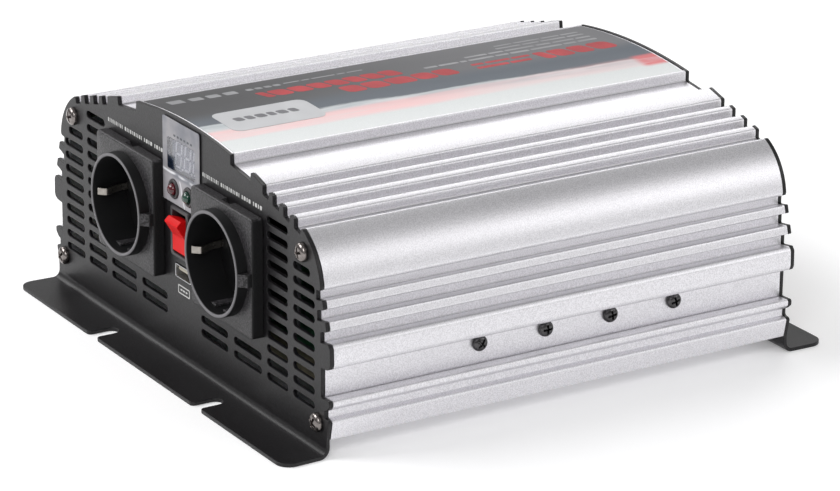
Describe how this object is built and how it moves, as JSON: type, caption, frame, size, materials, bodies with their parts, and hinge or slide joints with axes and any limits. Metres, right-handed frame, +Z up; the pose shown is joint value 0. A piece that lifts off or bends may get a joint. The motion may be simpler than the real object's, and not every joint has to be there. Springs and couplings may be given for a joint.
{
  "type": "power inverter",
  "caption": "Mains power inverter in a finned aluminium housing with recessed sockets, rocker switch, display, USB outlet, rear fan and cable studs on flanged end panels.",
  "frame": {"origin": "on the surface the flanges stand on, under the middle of the housing", "axes": "+X to the right seen from the socket side, -Y out of the socket side, +Z up"},
  "size_m": [0.2342, 0.2594, 0.1045],
  "materials": {
    "housing": "satin anodised extrusion",
    "panel": "satin black powder coat",
    "bright_screw": "nickel plate",
    "dark_screw": "black nickel plate",
    "socket": "fine spark-eroded texture",
    "brass": "bright",
    "overlay": "printed film with a clear window",
    "display": "three-digit seven-segment module",
    "led_red": "clear tinted dome, unlit",
    "led_green": "clear tinted dome, unlit",
    "switch": "satin",
    "rocker": "satin gloss",
    "usb_shell": "nickel plate",
    "usb_insulator": "moulded",
    "guard": "bright plated",
    "fan": "moulded",
    "terminal_red": "moulded",
    "terminal_black": "moulded",
    "board": "solder-masked glass laminate",
    "insulation": "fish paper",
    "ferrite": "pressed and fired",
    "winding": "polyester tape over copper",
    "transistors": "moulded packages on a silicone strip",
    "clamp_bar": "zinc plate",
    "capacitor": "shrink sleeve",
    "fuses": "moulded blade fuses",
    "lead_red": "silicone insulation",
    "lead_black": "silicone insulation",
    "lead_grey": "sheathed"
  },
  "bodies": {
    "root": {"ac_lead_left": "lead_grey", "ac_lead_right": "lead_grey", "capacitor": "capacitor", "clamp_bar_left": "clamp_bar", "clamp_bar_right": "clamp_bar", "dc_lead_negative": "lead_black", "dc_lead_positive": "lead_red", "display_module": "display", "display_overlay": "overlay", "earth_screw": "brass", "earth_strap_left": "brass", "earth_strap_right": "brass", "fan_frame": "fan", "fan_guard": "guard", "front_panel": "panel", "fuse_block": "fuses", "insulation_sheet": "insulation", "led_green": "led_green", "led_red": "led_red", "lower_tray": "housing", "main_board": "board", "panel_screw_front_bottom_left": "bright_screw", "panel_screw_front_bottom_right": "bright_screw", "panel_screw_front_top_left": "bright_screw", "panel_screw_front_top_right": "bright_screw", "panel_screw_rear_bottom_left": "bright_screw", "panel_screw_rear_bottom_right": "bright_screw", "panel_screw_rear_top_left": "bright_screw", "panel_screw_rear_top_right": "bright_screw", "rear_panel": "panel", "side_screw_left_1": "dark_screw", "side_screw_left_2": "dark_screw", "side_screw_left_3": "dark_screw", "side_screw_left_4": "dark_screw", "side_screw_right_1": "dark_screw", "side_screw_right_2": "dark_screw", "side_screw_right_3": "dark_screw", "side_screw_right_4": "dark_screw", "socket_left": "socket", "socket_right": "socket", "switch_housing": "switch", "terminal_base_negative": "terminal_black", "terminal_base_positive": "terminal_red", "terminal_stud_negative": "brass", "terminal_stud_positive": "brass", "transformer_core_left": "ferrite", "transformer_core_right": "ferrite", "transformer_winding_left": "winding", "transformer_winding_right": "winding", "transistor_row_left": "transistors", "transistor_row_right": "transistors", "upper_shell": "housing", "usb_insulator": "usb_insulator", "usb_shell": "usb_shell"},
    "rocker": {"rocker": "rocker"},
    "fan_rotor": {"fan_rotor": "fan"},
    "washer_negative": {"terminal_washer_negative": "brass"},
    "nut_negative": {"terminal_nut_negative": "terminal_black"},
    "washer_positive": {"terminal_washer_positive": "brass"},
    "nut_positive": {"terminal_nut_positive": "terminal_red"}
  },
  "joints": [
    {"name": "rocker_press", "type": "hinge", "parent": "root", "child": "rocker", "pos_m": [0, -0.10925, 0.0567], "axis": [-1, 0, 0], "range_deg": [0, 32]},
    {"name": "fan_spin", "type": "hinge", "parent": "root", "child": "fan_rotor", "pos_m": [0, 0.1, 0.058], "axis": [0, 1, 0], "continuous": true},
    {"name": "washer_negative_lift", "type": "slide", "parent": "root", "child": "washer_negative", "axis": [0, 1, 0], "range_m": [0, 0.00375]},
    {"name": "nut_negative_turn", "type": "hinge", "parent": "washer_negative", "child": "nut_negative", "pos_m": [-0.062, 0.12125, 0.046], "axis": [0, 1, 0], "range_deg": [0, 1080]},
    {"name": "washer_positive_lift", "type": "slide", "parent": "root", "child": "washer_positive", "axis": [0, 1, 0], "range_m": [0, 0.00375]},
    {"name": "nut_positive_turn", "type": "hinge", "parent": "washer_positive", "child": "nut_positive", "pos_m": [0.062, 0.12125, 0.046], "axis": [0, 1, 0], "range_deg": [0, 1080]}
  ],
  "couplings": [
    {"joint": "nut_negative_turn", "follows": "washer_negative_lift", "rad_per_m": 5026.5},
    {"joint": "nut_positive_turn", "follows": "washer_positive_lift", "rad_per_m": 5026.5}
  ]
}
